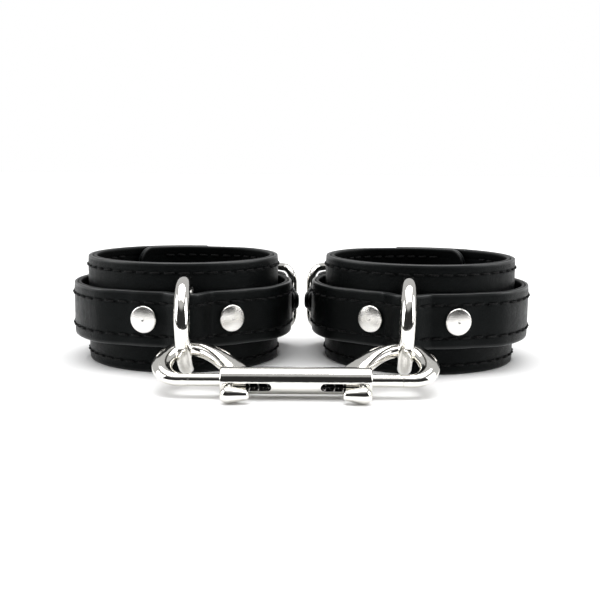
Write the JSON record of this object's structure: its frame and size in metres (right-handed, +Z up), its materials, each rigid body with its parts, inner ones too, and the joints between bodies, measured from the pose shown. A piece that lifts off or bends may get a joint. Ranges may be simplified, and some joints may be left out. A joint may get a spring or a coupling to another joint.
{
  "type": "wrist cuffs",
  "caption": "Pair of black leather wrist cuffs with buckled straps and D-rings, joined by a chromed double-ended bolt snap with sliding bolts and thumb studs.",
  "frame": {"origin": "on the floor, under the middle of the whole object's box", "axes": "+X across the pair from the left cuff to the right, +Y from the snap to the back of the cuffs, +Z up"},
  "size_m": [0.1692, 0.1194, 0.038],
  "materials": {
    "band_leather": "smooth satin black",
    "lining_leather": "matt black",
    "strap_leather": "smooth satin black",
    "thread": "black waxed thread",
    "plated_wire": "polished nickel plate",
    "plated_casting": "polished nickel plate",
    "rivet_plate": "plated, fine brushing",
    "spring_steel": "drawn wire"
  },
  "bodies": {
    "snap": {"snap_body": "plated_casting", "left_spring": "spring_steel", "right_spring": "spring_steel"},
    "left_latch": {"left_bolt": "plated_casting", "left_knob": "plated_casting"},
    "left_ring": {"left_d_ring": "plated_wire"},
    "left_cuff": {"left_band_outer": "band_leather", "left_band_lining": "lining_leather", "left_strap_outer": "strap_leather", "left_strap_lining": "lining_leather", "left_rivet_caps": "rivet_plate", "left_rivet_posts": "rivet_plate", "left_buckle_frame": "plated_wire"},
    "left_tongue": {"left_buckle_prong": "plated_wire"},
    "right_latch": {"right_bolt": "plated_casting", "right_knob": "plated_casting"},
    "right_ring": {"right_d_ring": "plated_wire"},
    "right_cuff": {"right_band_outer": "band_leather", "right_band_lining": "lining_leather", "right_strap_outer": "strap_leather", "right_strap_lining": "lining_leather", "right_rivet_caps": "rivet_plate", "right_rivet_posts": "rivet_plate", "right_buckle_frame": "plated_wire"},
    "right_tongue": {"right_buckle_prong": "plated_wire"}
  },
  "joints": [
    {"name": "left_bolt_slide", "type": "slide", "parent": "snap", "child": "left_latch", "axis": [1, 0, 0], "range_m": [0, 0.0113], "stiffness_N_per_m": 120, "springref_m": -0.004, "deforming": ["left_spring"]},
    {"name": "left_ring_tilt", "type": "hinge", "parent": "snap", "child": "left_ring", "pos_m": [-0.03802, -0.03117, 0.01165], "axis": [1, 0, 0], "range_deg": [-15, 45]},
    {"name": "left_cuff_swing", "type": "hinge", "parent": "left_ring", "child": "left_cuff", "pos_m": [-0.03888, -0.01889, 0.019], "axis": [-0.0392, -0.001, 0.9992], "range_deg": [0, 35]},
    {"name": "left_prong_lift", "type": "hinge", "parent": "left_cuff", "child": "left_tongue", "pos_m": [-0.01239, 0.0421, 0.019], "axis": [0, 0, -1], "range_deg": [0, 14]},
    {"name": "right_bolt_slide", "type": "slide", "parent": "snap", "child": "right_latch", "axis": [-1, 0, 0], "range_m": [0, 0.0113], "stiffness_N_per_m": 120, "springref_m": -0.004, "deforming": ["right_spring"]},
    {"name": "right_ring_tilt", "type": "hinge", "parent": "snap", "child": "right_ring", "pos_m": [0.03274, -0.03117, 0.01165], "axis": [1, 0, 0], "range_deg": [-15, 45]},
    {"name": "right_cuff_swing", "type": "hinge", "parent": "right_ring", "child": "right_cuff", "pos_m": [0.03522, -0.0182, 0.019], "axis": [-0.0347, 0.0036, -0.9994], "range_deg": [0, 35]},
    {"name": "right_prong_lift", "type": "hinge", "parent": "right_cuff", "child": "right_tongue", "pos_m": [0.01305, 0.04298, 0.019], "axis": [0, 0, 1], "range_deg": [0, 14]}
  ]
}
